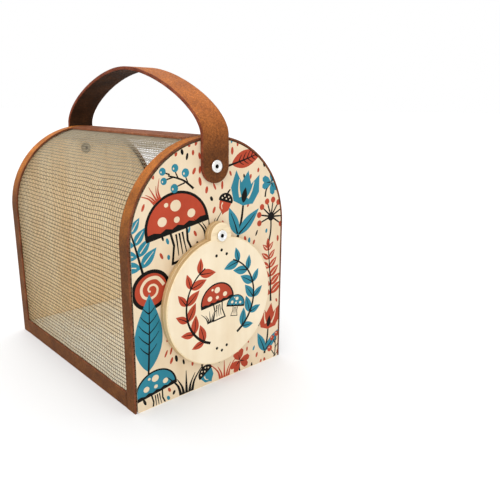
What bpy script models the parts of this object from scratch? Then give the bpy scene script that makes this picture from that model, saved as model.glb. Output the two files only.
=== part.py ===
"""A child's wooden bug box: arched plywood ends, wire mesh roof, leather trim and handle, round swing door.

Metres, +Z up. The front panel faces -Y, +X is to the right as seen from the front.
The origin is the centre of the footprint, on the surface that the box stands on.
"""
import math

import bmesh
import bpy
from mathutils import Matrix, Vector

# Clearance between pieces that rest on, or pass through, each other
GAP = 0.0003

# Box
BOX_W = 0.120
BOX_D = 0.1675
SPRING_Z = 0.0985
PANEL_T = 0.005
FLOOR_T = 0.008

# Leather trim over the mesh
TRIM_T = 0.0013
EDGE_TRIM_W = 0.009
BASE_TRIM_H = 0.0105
RIDGE_TRIM_W = 0.024

# Wire mesh, as a thin sheet whose plain grid of openings stands for the fine weave
MESH_T = 0.0008
MESH_HEM = 0.0008
MESH_CELLS = 12
MESH_RIB = 0.002
MESH_TOP_HEM = 0.017

# Staples that hold the mesh on the panels' and the floor's edges
STAPLE_WIRE = 0.0005
STAPLE_CROWN = 0.006
STAPLE_LEG = 0.004
SIDE_STAPLES = 2
SIDE_STAPLE_PITCH = 0.042
SIDE_STAPLE_Z = 0.028
ARCH_STAPLE_ANGLES = (31.0, 77.0)
BASE_STAPLES = 3
BASE_STAPLE_SHARE = 0.31

# Tubular rivets
RIVET_BORE_R = 0.00125
SHANK_R = 0.0020
HANDLE_HEAD_R = 0.0039
DOOR_HEAD_R = 0.0036
HEAD_T = 0.0012
HEAD_RIM_T = 0.0004
FLARE_R = 0.0030
FLARE_T = 0.0006
WASHER_R = 0.0040
WASHER_T = 0.0005

# Strap handle
STRAP_W = 0.020
STRAP_T = 0.0022
STRAP_EDGE = 0.0004
HANDLE_RIVET_DROP = 0.0175
STRAP_TIP_DEG = 12.0
HANDLE_BEND_RISE = 0.0003
HANDLE_SHOULDER = 0.0166
HANDLE_CROWN = 0.034
HANDLE_RISE = 0.040

# Round door
RIVET_SPACING = 0.041
DOOR_R = 0.041
DOOR_BOARD_T = 0.0029
EAR_R = 0.008
EAR_RISE = 0.001
LID_OVERLAP = 0.007

# Facets
ARCH_STEPS = 48
DISC_STEPS = 72
EAR_STEPS = 14
RIVET_STEPS = 24
STRAP_STEPS = 22
TIP_STEPS = 6
MESH_ARC_STEP = 0.005

# Worked out from the sizes above
ARCH_R = BOX_W / 2
ARCH_TOP = SPRING_Z + ARCH_R
FRONT_Y = -BOX_D / 2
TRIM_IN_R = ARCH_R - TRIM_T
MESH_OUT_R = TRIM_IN_R - GAP
MESH_IN_R = MESH_OUT_R - MESH_T
PANEL_R = MESH_IN_R - GAP
BASE_STAPLE_PITCH = BOX_D * BASE_STAPLE_SHARE
HOLE_CLEAR_R = SHANK_R + GAP
HANDLE_RIVET_Z = ARCH_TOP - HANDLE_RIVET_DROP
DOOR_RIVET_Z = HANDLE_RIVET_Z - RIVET_SPACING
DOOR_Z = DOOR_RIVET_Z - EAR_RISE - DOOR_R
HOLE_R = DOOR_R - LID_OVERLAP
DOOR_BACK_Y = FRONT_Y - GAP - WASHER_T - GAP
DOOR_SEAM_Y = DOOR_BACK_Y - DOOR_BOARD_T
DOOR_FACE_Y = DOOR_SEAM_Y - GAP - DOOR_BOARD_T
STRAP_MID_Y = BOX_D / 2 + GAP + STRAP_T / 2
STRAP_FACE_Y = BOX_D / 2 + GAP + STRAP_T


def clear_scene():
    for obj in list(bpy.data.objects):
        bpy.data.objects.remove(obj, do_unlink=True)


def finish_of(name, colour, roughness, metallic=0.0):
    material = bpy.data.materials.new(name)
    material.use_nodes = True
    shader = material.node_tree.nodes["Principled BSDF"]
    shader.inputs["Base Color"].default_value = (*colour, 1.0)
    shader.inputs["Roughness"].default_value = roughness
    shader.inputs["Metallic"].default_value = metallic
    material.diffuse_color = (*colour, 1.0)
    return material


def add_object(name, bm, material, pivot=(0.0, 0.0, 0.0), smooth=False):
    """Make an object of a mesh drawn in world coordinates, with its origin at the pivot."""
    bmesh.ops.translate(bm, verts=bm.verts, vec=-Vector(pivot))
    mesh = bpy.data.meshes.new(name)
    bm.to_mesh(mesh)
    bm.free()
    mesh.materials.append(material)
    if smooth:
        mesh.shade_smooth()
        mesh.set_sharp_from_angle(angle=math.radians(35))
    obj = bpy.data.objects.new(name, mesh)
    obj.location = pivot
    bpy.context.scene.collection.objects.link(obj)
    return obj


def add_box(bm, low, high, place=Matrix()):
    """A box between two corners, which a matrix then places."""
    low, high = Vector(low), Vector(high)
    made = bmesh.ops.create_cube(bm, size=1.0)
    for vert in made["verts"]:
        middle = (low + high) / 2
        vert.co = place @ (middle + Vector(a * b for a, b in zip(vert.co, high - low)))


def skin_rings(bm, rings, closed=False):
    """Join rings of corner points into one body with its faces outward; a closed run has no ends."""
    rings = [[bm.verts.new(point) for point in ring] for ring in rings]
    faces = []
    pairs = list(zip(rings, rings[1:]))
    if closed:
        pairs.append((rings[-1], rings[0]))
    else:
        faces.append(bm.faces.new(rings[0]))
        faces.append(bm.faces.new(list(reversed(rings[-1]))))
    for one, two in pairs:
        for i in range(len(one)):
            j = (i + 1) % len(one)
            faces.append(bm.faces.new((one[i], two[i], two[j], one[j])))
    bmesh.ops.recalc_face_normals(bm, faces=faces)


def add_prism(bm, outline, y_low, y_high):
    """An outline of (x, z) points, drawn out along Y."""
    skin_rings(bm, [[(x, y, z) for x, z in outline] for y in (y_low, y_high)])


def add_band(bm, outer, inner, y_low, y_high):
    """A curved strip between two open lines of (x, z) points, drawn out along Y."""
    rings = []
    for (ox, oz), (ix, iz) in zip(outer, inner):
        rings.append([(ox, y_low, oz), (ox, y_high, oz), (ix, y_high, iz), (ix, y_low, iz)])
    skin_rings(bm, rings)


def add_pierced_sheet(bm, outer, inner, columns, open_rows, open_columns):
    """A thin curved sheet between two lines of (x, z) points, drawn along Y over the places in columns.

    A cell is left open where both its row and its column are among the open ones.
    """
    skins = [[[bm.verts.new((x, y, z)) for y in columns] for x, z in line] for line in (outer, inner)]
    top, under = skins
    rows = range(len(outer) - 1)
    places = range(len(columns) - 1)

    def is_solid(i, j):
        return i in rows and j in places and not (i in open_rows and j in open_columns)

    faces = []
    for i in rows:
        for j in places:
            if not is_solid(i, j):
                continue
            for skin in skins:
                corners = (skin[i][j], skin[i + 1][j], skin[i + 1][j + 1], skin[i][j + 1])
                faces.append(bm.faces.new(corners))
            sides = (((i - 1, j), (i, j), (i, j + 1)), ((i + 1, j), (i + 1, j), (i + 1, j + 1)),
                     ((i, j - 1), (i, j), (i + 1, j)), ((i, j + 1), (i, j + 1), (i + 1, j + 1)))
            for beside, (a, b), (c, d) in sides:
                if not is_solid(*beside):
                    faces.append(bm.faces.new((top[a][b], top[c][d], under[c][d], under[a][b])))
    bmesh.ops.recalc_face_normals(bm, faces=faces)


def add_turned(bm, profile, centre, outward):
    """A closed profile of (radius, distance outward) points, spun about a line along Y."""
    rings = []
    for k in range(RIVET_STEPS):
        turn = 2 * math.pi * k / RIVET_STEPS
        ring = []
        for radius, reach in profile:
            x = centre[0] + radius * math.cos(turn)
            z = centre[2] + radius * math.sin(turn)
            ring.append((x, centre[1] + outward * reach, z))
        rings.append(ring)
    skin_rings(bm, rings, closed=True)


def arch_line(radius, foot_z, first_deg=0.0, last_deg=180.0):
    """Points from the right foot over the arch to the left one; a part of it stops on the arch."""
    count = max(2, round(ARCH_STEPS * (last_deg - first_deg) / 180.0))
    line = []
    if first_deg == 0.0:
        line.append((radius, foot_z))
    for k in range(count + 1):
        turn = math.radians(first_deg + (last_deg - first_deg) * k / count)
        line.append((radius * math.cos(turn), SPRING_Z + radius * math.sin(turn)))
    if last_deg == 180.0:
        line.append((-radius, foot_z))
    return line


def circle_line(radius, steps, centre_z, first_deg=0.0, last_deg=360.0):
    """Points along a circle in the plane of the front panel, or along an arc with both its ends."""
    whole = last_deg - first_deg == 360.0
    line = []
    for k in range(steps if whole else steps + 1):
        turn = math.radians(first_deg + (last_deg - first_deg) * k / steps)
        line.append((radius * math.cos(turn), centre_z + radius * math.sin(turn)))
    return line


def cut(obj, name, bm):
    """Take the shape in bm out of the object."""
    cutter = add_object(name, bm, obj.data.materials[0])
    cutter.hide_render = True
    cutter.display_type = "WIRE"
    cutter.hide_set(True)
    modifier = obj.modifiers.new(name, "BOOLEAN")
    modifier.operation = "DIFFERENCE"
    modifier.solver = "EXACT"
    modifier.object = cutter


def rivet_hole(bm, z, y_low, y_high):
    add_prism(bm, circle_line(HOLE_CLEAR_R, RIVET_STEPS, z), y_low, y_high)


def staple_places():
    """Where the mesh's staples sit round one panel: x, z and the angle of the way out."""
    places = []
    for side in (1, -1):
        for k in range(SIDE_STAPLES):
            z = SIDE_STAPLE_Z + SIDE_STAPLE_PITCH * k
            places.append((side * MESH_OUT_R, z, 0.0 if side > 0 else math.pi))
        for degrees in ARCH_STAPLE_ANGLES:
            turn = math.radians(degrees if side > 0 else 180.0 - degrees)
            x = MESH_OUT_R * math.cos(turn)
            places.append((x, SPRING_Z + MESH_OUT_R * math.sin(turn), turn))
    return places


def panel_staple_frames(panel_mid_y):
    """Matrices of the staples round a panel: local X points out, local Z runs along the crown."""
    frames = []
    for x, z, turn in staple_places():
        frames.append(Matrix.Translation((x, panel_mid_y, z)) @ Matrix.Rotation(-turn, 4, "Y"))
    return frames


def base_staple_frames(side):
    """Matrices of the staples along one long edge of the floor."""
    frames = []
    for k in range(BASE_STAPLES):
        y = BASE_STAPLE_PITCH * (k - (BASE_STAPLES - 1) / 2)
        turn = Matrix.Rotation(0.0 if side > 0 else math.pi, 4, "Z")
        lie = Matrix.Rotation(math.pi / 2, 4, "X")
        frames.append(Matrix.Translation((side * MESH_OUT_R, y, FLOOR_T / 2)) @ turn @ lie)
    return frames


def add_staple(bm, frame):
    """A U of square wire: its crown lies on the mesh and its two legs go into the wood."""
    half = STAPLE_CROWN / 2
    w = STAPLE_WIRE
    outline = [(-STAPLE_LEG, -half), (GAP + w, -half), (GAP + w, half), (-STAPLE_LEG, half),
               (-STAPLE_LEG, half - w), (GAP, half - w), (GAP, w - half), (-STAPLE_LEG, w - half)]
    skin_rings(bm, [[frame @ Vector((x, y, z)) for x, z in outline] for y in (-w / 2, w / 2)])


def add_staple_room(bm, frame, crown=False):
    """The room for a staple's two legs, or for its crown, with a clearance all round."""
    half = STAPLE_CROWN / 2 + GAP
    wide = STAPLE_WIRE / 2 + GAP
    if crown:
        # The shallow recess in the back of the trim
        add_box(bm, (-GAP, -wide, -half), (STAPLE_WIRE + 2 * GAP, wide, half), frame)
        return
    for side in (1, -1):
        near = side * (half - STAPLE_WIRE - 2 * GAP)
        far = side * half
        low = (-STAPLE_LEG - GAP, -wide, min(near, far))
        add_box(bm, low, (2 * GAP, wide, max(near, far)), frame)


def staples(name, frames, material):
    for count, frame in enumerate(frames, start=1):
        bm = bmesh.new()
        add_staple(bm, frame)
        add_object(f"{name}_{count}", bm, material)


def make_room(obj, frames, crown=False):
    bm = bmesh.new()
    for frame in frames:
        add_staple_room(bm, frame, crown)
    cut(obj, obj.name + "_staple_room", bm)


def end_panel(name, y_low, material):
    bm = bmesh.new()
    add_prism(bm, arch_line(PANEL_R, 0.0), y_low, y_low + PANEL_T)
    panel = add_object(name, bm, material)
    make_room(panel, panel_staple_frames(y_low + PANEL_T / 2))
    holes = bmesh.new()
    rivet_hole(holes, HANDLE_RIVET_Z, y_low - GAP, y_low + PANEL_T + GAP)
    if y_low < 0:
        rivet_hole(holes, DOOR_RIVET_Z, y_low - GAP, y_low + PANEL_T + GAP)
        hole = circle_line(HOLE_R, DISC_STEPS, DOOR_Z)
        add_prism(holes, hole, y_low - GAP, y_low + PANEL_T + GAP)
    cut(panel, name + "_holes", holes)


def floor_board(material):
    bm = bmesh.new()
    half_y = BOX_D / 2 - PANEL_T - GAP
    add_box(bm, (-PANEL_R, -half_y, 0.0), (PANEL_R, half_y, FLOOR_T))
    floor = add_object("floor_board", bm, material)
    make_room(floor, base_staple_frames(1) + base_staple_frames(-1))


def opening_edges(low, high):
    """Both edges of each opening in a row of them between two trims, with a rib between openings."""
    pitch = (high - low + MESH_RIB) / MESH_CELLS
    return [(low + pitch * k, low + pitch * (k + 1) - MESH_RIB) for k in range(MESH_CELLS)]


def mesh_stations(foot, seam, openings):
    """Lengths up the mesh at which it has points, and the rows between them that are open."""
    stations = [foot]
    open_rows = []
    for low, high in [*openings, (seam, seam)]:
        for end, is_open in ((low, False), (high, True)):
            start = stations[-1]
            if end <= start:
                continue
            count = 1 if end <= SPRING_Z else math.ceil((end - start) / MESH_ARC_STEP)
            if is_open:
                open_rows += range(len(stations) - 1, len(stations) - 1 + count)
            stations += [start + (end - start) * k / count for k in range(1, count + 1)]
    return stations, open_rows


def mesh_point(radius, length, side):
    """The (x, z) at a length up the mesh's outer face, or level with it on a face further in."""
    if length <= SPRING_Z:
        return side * radius, length
    turn = (length - SPRING_Z) / MESH_OUT_R
    return side * radius * math.cos(turn), SPRING_Z + radius * math.sin(turn)


def mesh_sheet(name, side, material):
    """Half of the roof's wire mesh, from one base edge up to the seam under the ridge strip.

    Its folded hem there is wider than the strip and has no openings.
    """
    quarter = math.pi / 2 * MESH_OUT_R
    top_hem = MESH_TOP_HEM * MESH_OUT_R / ARCH_R
    openings = opening_edges(BASE_TRIM_H, SPRING_Z + quarter - top_hem)
    stations, open_rows = mesh_stations(MESH_HEM, SPRING_Z + quarter - GAP, openings)
    half_y = BOX_D / 2 - MESH_HEM
    trim_y = BOX_D / 2 - EDGE_TRIM_W
    edges = [y for pair in opening_edges(-trim_y, trim_y) for y in pair]
    columns = [-half_y, *edges, half_y]
    bm = bmesh.new()
    outer = [mesh_point(MESH_OUT_R, length, side) for length in stations]
    inner = [mesh_point(MESH_IN_R, length, side) for length in stations]
    add_pierced_sheet(bm, outer, inner, columns, open_rows, range(1, 2 * MESH_CELLS, 2))
    sheet = add_object(name, bm, material, smooth=True)
    frames = base_staple_frames(side)
    for panel_mid in (FRONT_Y + PANEL_T / 2, -FRONT_Y - PANEL_T / 2):
        frames += [f for f in panel_staple_frames(panel_mid) if f.translation.x * side > 0]
    make_room(sheet, frames)


def edge_trim(name, y_low, panel_mid_y, material):
    bm = bmesh.new()
    add_band(bm, arch_line(ARCH_R, 0.0), arch_line(TRIM_IN_R, 0.0), y_low, y_low + EDGE_TRIM_W)
    trim = add_object(name, bm, material, smooth=True)
    make_room(trim, panel_staple_frames(panel_mid_y), crown=True)


def base_trim(name, side, material):
    bm = bmesh.new()
    half_y = BOX_D / 2 - EDGE_TRIM_W - GAP
    x_low, x_high = sorted((side * TRIM_IN_R, side * ARCH_R))
    add_box(bm, (x_low, -half_y, 0.0), (x_high, half_y, BASE_TRIM_H))
    trim = add_object(name, bm, material)
    make_room(trim, base_staple_frames(side), crown=True)


def ridge_trim(material):
    half_deg = math.degrees(RIDGE_TRIM_W / 2 / ARCH_R)
    bm = bmesh.new()
    outer = arch_line(ARCH_R, 0.0, 90.0 - half_deg, 90.0 + half_deg)
    inner = arch_line(TRIM_IN_R, 0.0, 90.0 - half_deg, 90.0 + half_deg)
    half_y = BOX_D / 2 - EDGE_TRIM_W - GAP
    add_band(bm, outer, inner, -half_y, half_y)
    add_object("ridge_trim", bm, material, smooth=True)


def strap_half_line():
    """The strap's middle line from a tip to the crown: distance from the middle plane, z, half width."""
    bend_z = ARCH_TOP + HANDLE_BEND_RISE
    line = []
    for k in range(TIP_STEPS + 1):
        # The tip is round, about the rivet
        turn = math.radians(STRAP_TIP_DEG + (90.0 - STRAP_TIP_DEG) * k / TIP_STEPS)
        tip_z = HANDLE_RIVET_Z - STRAP_W / 2 * math.cos(turn)
        line.append((STRAP_MID_Y, tip_z, STRAP_W / 2 * math.sin(turn)))
    ends = [Vector((STRAP_MID_Y, bend_z)), Vector((STRAP_MID_Y, bend_z + HANDLE_SHOULDER)),
            Vector((HANDLE_CROWN, ARCH_TOP + HANDLE_RISE)), Vector((0.0, ARCH_TOP + HANDLE_RISE))]
    for k in range(STRAP_STEPS + 1):
        t = k / STRAP_STEPS
        s = 1 - t
        point = (s ** 3 * ends[0] + 3 * s * s * t * ends[1]
                 + 3 * s * t * t * ends[2] + t ** 3 * ends[3])
        line.append((point.x, point.y, STRAP_W / 2))
    return line


def strap_line():
    """The whole middle line, front tip to back tip, as (y, z, half width)."""
    half = strap_half_line()
    front = [(-y, z, wide) for y, z, wide in half]
    back = list(reversed(half[:-1]))
    return front + back


def handle_strap(material):
    line = strap_line()
    bm = bmesh.new()
    rings = []
    for i, (y, z, wide) in enumerate(line):
        before = line[max(i - 1, 0)]
        after = line[min(i + 1, len(line) - 1)]
        along = Vector((after[0] - before[0], after[1] - before[1])).normalized()
        out = Vector((-along.y, along.x)) * STRAP_T / 2
        edge = 1 - STRAP_EDGE / (STRAP_T / 2)
        ring = []
        for x, share in ((wide - STRAP_EDGE, 1), (wide, edge), (wide, -edge), (wide - STRAP_EDGE, -1),
                         (STRAP_EDGE - wide, -1), (-wide, -edge), (-wide, edge), (STRAP_EDGE - wide, 1)):
            ring.append((x, y + out.x * share, z + out.y * share))
        rings.append(ring)
    skin_rings(bm, rings)
    strap = add_object("handle_strap", bm, material, pivot=(0.0, 0.0, HANDLE_RIVET_Z), smooth=True)
    holes = bmesh.new()
    for side in (1, -1):
        near, far = sorted((side * (BOX_D / 2), side * (STRAP_FACE_Y + GAP)))
        rivet_hole(holes, HANDLE_RIVET_Z, near, far)
    cut(strap, "handle_strap_holes", holes)


def rivet(name, z, seat_y, back_y, head_r, material):
    """A tubular rivet: seat_y is under its head, back_y is the far face of its washer."""
    outward = -1 if seat_y < back_y else 1
    tail = -abs(back_y - seat_y) - GAP
    lip = (head_r - RIVET_BORE_R) * 0.4
    profile = [(RIVET_BORE_R, tail - FLARE_T), (RIVET_BORE_R, HEAD_T * 0.8),
               (RIVET_BORE_R + lip * 0.4, HEAD_T), (RIVET_BORE_R + lip, HEAD_T),
               (head_r - HEAD_RIM_T, HEAD_RIM_T * 1.6), (head_r, HEAD_RIM_T), (head_r, 0.0),
               (SHANK_R, 0.0), (SHANK_R, tail), (FLARE_R, tail), (FLARE_R, tail - FLARE_T / 2)]
    bm = bmesh.new()
    add_turned(bm, profile, (0.0, seat_y, z), outward)
    add_object(name, bm, material, pivot=(0.0, seat_y, z), smooth=True)


def washer(name, z, y_low, material):
    profile = [(HOLE_CLEAR_R, 0.0), (WASHER_R, 0.0), (WASHER_R, WASHER_T), (HOLE_CLEAR_R, WASHER_T)]
    bm = bmesh.new()
    add_turned(bm, profile, (0.0, y_low, z), 1)
    add_object(name, bm, material, pivot=(0.0, y_low, z), smooth=True)


def handle_fixings(material):
    for name, side in (("front", -1), ("back", 1)):
        inside_y = BOX_D / 2 - PANEL_T - GAP
        washer_low = side * inside_y if side < 0 else inside_y - WASHER_T
        washer(name + "_handle_washer", HANDLE_RIVET_Z, washer_low, material)
        seat_y = side * (STRAP_FACE_Y + GAP)
        back_y = side * (inside_y - WASHER_T)
        rivet(name + "_handle_rivet", HANDLE_RIVET_Z, seat_y, back_y, HANDLE_HEAD_R, material)


def door_outline():
    """The disc with the round ear that its rivet goes through."""
    ear_side = math.degrees(math.acos(EAR_R / DOOR_R))
    disc = circle_line(DOOR_R, DISC_STEPS, DOOR_Z, 180.0 - ear_side, 360.0 + ear_side)
    ear = circle_line(EAR_R, EAR_STEPS, DOOR_RIVET_Z, 0.0, 180.0)
    return disc + ear


def door_board(name, y_low, material):
    bm = bmesh.new()
    add_prism(bm, door_outline(), y_low, y_low + DOOR_BOARD_T)
    board = add_object(name, bm, material, pivot=(0.0, FRONT_Y, DOOR_RIVET_Z))
    hole = bmesh.new()
    rivet_hole(hole, DOOR_RIVET_Z, y_low - GAP, y_low + DOOR_BOARD_T + GAP)
    cut(board, name + "_hole", hole)


def door_fixings(metal, fibre):
    washer("door_spacer", DOOR_RIVET_Z, FRONT_Y - GAP - WASHER_T, fibre)
    inside_y = FRONT_Y + PANEL_T + GAP
    washer("door_washer", DOOR_RIVET_Z, inside_y, metal)
    rivet("door_rivet", DOOR_RIVET_Z, DOOR_FACE_Y - GAP, inside_y + WASHER_T, DOOR_HEAD_R, metal)


def build():
    clear_scene()
    plywood = finish_of("plywood", (0.76, 0.58, 0.36), 0.6)
    front_print = finish_of("front_print", (0.88, 0.74, 0.53), 0.5)
    back_print = finish_of("back_print", (0.88, 0.74, 0.53), 0.5)
    door_wood = finish_of("door_wood", (0.86, 0.72, 0.50), 0.55)
    door_core = finish_of("door_core", (0.78, 0.62, 0.40), 0.6)
    leather = finish_of("leather_trim", (0.26, 0.10, 0.035), 0.75)
    strap_leather = finish_of("strap_leather", (0.36, 0.13, 0.04), 0.7)
    wire = finish_of("mesh_wire", (0.42, 0.40, 0.34), 0.4, 0.8)
    nickel = finish_of("nickel", (0.82, 0.82, 0.80), 0.25, 1.0)
    steel = finish_of("staple_steel", (0.55, 0.55, 0.54), 0.35, 1.0)
    fibre = finish_of("fibre_washer", (0.20, 0.17, 0.14), 0.8)

    front_mid_y = FRONT_Y + PANEL_T / 2
    end_panel("front_panel", FRONT_Y, front_print)
    end_panel("back_panel", -FRONT_Y - PANEL_T, back_print)
    floor_board(plywood)
    mesh_sheet("right_mesh", 1, wire)
    mesh_sheet("left_mesh", -1, wire)
    edge_trim("front_edge_trim", FRONT_Y, front_mid_y, leather)
    edge_trim("back_edge_trim", -FRONT_Y - EDGE_TRIM_W, -front_mid_y, leather)
    base_trim("right_base_trim", 1, leather)
    base_trim("left_base_trim", -1, leather)
    ridge_trim(leather)
    staples("front_mesh_staple", panel_staple_frames(front_mid_y), steel)
    staples("back_mesh_staple", panel_staple_frames(-front_mid_y), steel)
    staples("right_base_staple", base_staple_frames(1), steel)
    staples("left_base_staple", base_staple_frames(-1), steel)
    handle_strap(strap_leather)
    handle_fixings(nickel)
    door_board("door_back_board", DOOR_SEAM_Y, door_core)
    door_board("door_front_board", DOOR_FACE_Y, door_wood)
    door_fixings(nickel, fibre)


build()
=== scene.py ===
"""Looks of the bug box: woven wire, leather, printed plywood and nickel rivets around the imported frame."""
import math
import random

import bmesh
import bpy
from mathutils import Matrix, Vector, geometry, noise


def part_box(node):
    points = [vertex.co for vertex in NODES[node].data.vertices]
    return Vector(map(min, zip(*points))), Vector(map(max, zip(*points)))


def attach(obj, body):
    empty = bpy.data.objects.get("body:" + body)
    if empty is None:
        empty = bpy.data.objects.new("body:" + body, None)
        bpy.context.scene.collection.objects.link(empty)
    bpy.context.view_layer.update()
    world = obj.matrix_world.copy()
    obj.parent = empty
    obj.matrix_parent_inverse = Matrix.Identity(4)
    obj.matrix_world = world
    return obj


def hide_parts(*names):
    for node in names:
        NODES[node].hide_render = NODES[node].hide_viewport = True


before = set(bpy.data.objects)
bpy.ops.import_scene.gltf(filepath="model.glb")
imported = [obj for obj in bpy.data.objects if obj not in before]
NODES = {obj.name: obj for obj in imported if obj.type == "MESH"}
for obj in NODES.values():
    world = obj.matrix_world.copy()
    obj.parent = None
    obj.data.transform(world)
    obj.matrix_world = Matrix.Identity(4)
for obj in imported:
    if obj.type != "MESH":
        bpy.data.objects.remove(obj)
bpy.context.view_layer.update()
MM = 0.001

# Sizes that the frame holds
PANEL_LOW, PANEL_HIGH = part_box("front_panel")
_, TRIM_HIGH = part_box("front_edge_trim")
BASE_LOW, BASE_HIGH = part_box("right_base_trim")
RIDGE_LOW, RIDGE_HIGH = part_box("ridge_trim")
MESH_LOW, MESH_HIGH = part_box("right_mesh")
STRAP_LOW, STRAP_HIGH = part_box("handle_strap")
DOOR_LOW, DOOR_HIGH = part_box("door_front_board")
RIVET_LOW, RIVET_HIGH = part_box("front_handle_rivet")
PIN_LOW, PIN_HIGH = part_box("door_rivet")

FRONT_Y = PANEL_LOW.y
ARCH_R = TRIM_HIGH.x
ARCH_TOP = TRIM_HIGH.z
SPRING_Z = ARCH_TOP - ARCH_R
PANEL_R = PANEL_HIGH.x
TRIM_T = BASE_HIGH.x - BASE_LOW.x
TRIM_MID_R = ARCH_R - TRIM_T / 2
HANDLE_RIVET_Z = (RIVET_LOW.z + RIVET_HIGH.z) / 2
DOOR_RIVET_Z = (PIN_LOW.z + PIN_HIGH.z) / 2
DOOR_R = DOOR_HIGH.x
DOOR_Z = DOOR_LOW.z + DOOR_R
EAR_R = DOOR_HIGH.z - DOOR_RIVET_Z

# Sizes inside the solids that the finish stands for
GAP = 0.3 * MM
LID_OVERLAP = 7 * MM
HOLE_R = DOOR_R - LID_OVERLAP
MESH_T = 0.8 * MM
MESH_MID_R = MESH_HIGH.x - MESH_T / 2
SHANK_HOLE_R = 2.3 * MM
BORE_R = 1.25 * MM
SHANK_R = 2.0 * MM
HEAD_T = 1.2 * MM
FLARE_R = 3.0 * MM
FLARE_T = 0.6 * MM
STRAP_T = 2.2 * MM
HANDLE_BEND_RISE = 0.3 * MM
HANDLE_SHOULDER = 16.6 * MM
HANDLE_CROWN = 34 * MM
HANDLE_RISE = 40 * MM
CUT_MARGIN = 1 * MM
NODE_SMOOTH_DEG = 35

# Leather: rounded edges, the depth of its nap, and the scales of the noise that shakes them
TRIM_ROUND = 0.35 * MM
TRIM_NAP = 0.10 * MM
STRAP_ROUND = 0.5 * MM
STRAP_NAP = 0.12 * MM
FRAY_SCALE = 900
NAP_SCALE = 260
NAP_SHIFT = Vector((3, 1, 7))
NAP_SHARE = 0.6

# Leather: stations along a strip and points across it
TRIM_STEP = 1.6 * MM
BASE_STEP = 2.4 * MM
RIDGE_STEP = 0.8 * MM
TRIM_ACROSS, RIDGE_ACROSS, STRAP_ACROSS = 12, 70, 18
TIP_START_DEG = 7
TIP_STEPS, DROP_STEPS, CROWN_STEPS = 14, 12, 64
CORNER_STEPS = 4

# Woven wire, doubled in a hem by the ridge, and painted lighter towards the top as painted top light
LONG_WIRE_R = 0.20 * MM
HOOP_WIRE_R = 0.12 * MM
WIRE_SIDES = 6
WIRE_PITCH = 2.52 * MM
LONG_SWAY = 0.7 * MM
LONG_SWAY_UP, LONG_SWAY_ALONG = 14, 45
HOOP_SWAY = 0.35 * MM
HOOP_SWAY_SCALE, HOOP_SWAY_SEED = 30, 5
HEM_W = 26 * MM
HEM_INSET = 0.72 * MM
HEM_SHIFT_ALONG, HEM_SHIFT_UP = 0.9, 0.05
# Painted top light on the wire: its strongest share, its start above the springing and its end below the top
PAINTED_WIRE_LIGHT_SHARE = 0.6
PAINTED_WIRE_LIGHT_FROM = 28 * MM
PAINTED_WIRE_LIGHT_TO = 5 * MM

# Print
INK_T = 0.12 * MM
PRINT_FOOT = 0.4 * MM
PRINT_OVER = 0.8 * MM
FILL_MARGIN = 1 * MM
FRONT_SEED, BACK_SEED = 4, 9

# The door's boards and its print, the sprigs of which are in millimetres
FACE_ROUND = 0.7 * MM
SEAM_ROUND = 0.25 * MM
REAR_ROUND = 0.6 * MM
ROUND_STEPS = 5
RIM_SLOPE = 0.6
DOOR_PRINT_INSET = 0.9 * MM
DOOR_INK_PROUD = 0.8
RIVET_CLEAR_R = 4.6 * MM
SPRIG_R = 27.0
SPRIG_LEAVES = 6

# A rivet: the head's dish and rolled ring, and its flared end, as shares of their width and height
DISH_SHARE = 0.35
DISH_LOW, DISH_HIGH = 0.45, 0.87
ROLL_FOOT = 0.12
DISH_STEPS, ROLL_STEPS = 4, 8
HEAD_FOOT_INSET = 0.05 * MM
FLARE_SHAPE = ((0.92, 1.0), (1.0, 0.6), (0.8, 0.15))

# The photograph's camera
CAMERA_PLACE = (-0.20514, -0.33763, 0.17739)
CAMERA_HEADING = 42.824
CAMERA_PITCH = 15.060
CAMERA_ROLL = 0.661
CAMERA_LENS = 39.461

# Stage and light
FLOOR_R = 12.0
FLOOR_TONE = 0.78
FLOOR_LIFT = 0.14
WORLD_LEVEL = 0.70
KEY_HEADING, KEY_HEIGHT, KEY_LEVEL, KEY_SPREAD = -44, 32, 1.3, 60
TOP_HEADING, TOP_HEIGHT, TOP_LEVEL, TOP_SPREAD = 165, 66, 1.25, 70


def srgb(red, green, blue):
    """A colour of 0 to 255 as the eye sees it, in the linear values that shaders take."""
    linear = []
    for value in (red, green, blue):
        v = value / 255
        linear.append(v / 12.92 if v <= 0.04045 else ((v + 0.055) / 1.055) ** 2.4)
    return (*linear, 1.0)


# Colours
WHITE = (1, 1, 1, 1)
CREAM = srgb(236, 217, 187)
DOOR_CREAM = srgb(244, 229, 201)
RED = srgb(182, 72, 48)
BLUE = srgb(50, 132, 152)
# A pale grey for the painted top light on the wire
PAINTED_WIRE_LIGHT = srgb(216, 206, 184)
BLACK = srgb(14, 13, 10)


def new_material(name, roughness, metallic=0.0):
    material = bpy.data.materials.new(name)
    material.use_nodes = True
    tree = material.node_tree
    shader = tree.nodes["Principled BSDF"]
    shader.inputs["Roughness"].default_value = roughness
    shader.inputs["Metallic"].default_value = metallic
    return material, tree, shader


def add_noise(tree, scale, detail=3.0, stretch=(1, 1, 1), rough=0.55):
    """A noise in the object's own space; stretch draws it out along an axis."""
    place = tree.nodes.new("ShaderNodeTexCoord")
    mapping = tree.nodes.new("ShaderNodeMapping")
    mapping.inputs["Scale"].default_value = stretch
    tree.links.new(place.outputs["Object"], mapping.inputs["Vector"])
    texture = tree.nodes.new("ShaderNodeTexNoise")
    texture.inputs["Scale"].default_value = scale
    texture.inputs["Detail"].default_value = detail
    texture.inputs["Roughness"].default_value = rough
    tree.links.new(mapping.outputs["Vector"], texture.inputs["Vector"])
    return texture.outputs["Fac"]


def add_ramp(tree, source, stops):
    ramp = tree.nodes.new("ShaderNodeValToRGB")
    elements = ramp.color_ramp.elements
    while len(elements) < len(stops):
        elements.new(0.5)
    for element, (place, colour) in zip(elements, stops):
        element.position = place
        element.color = colour
    tree.links.new(source, ramp.inputs["Fac"])
    return ramp.outputs["Color"]


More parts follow.
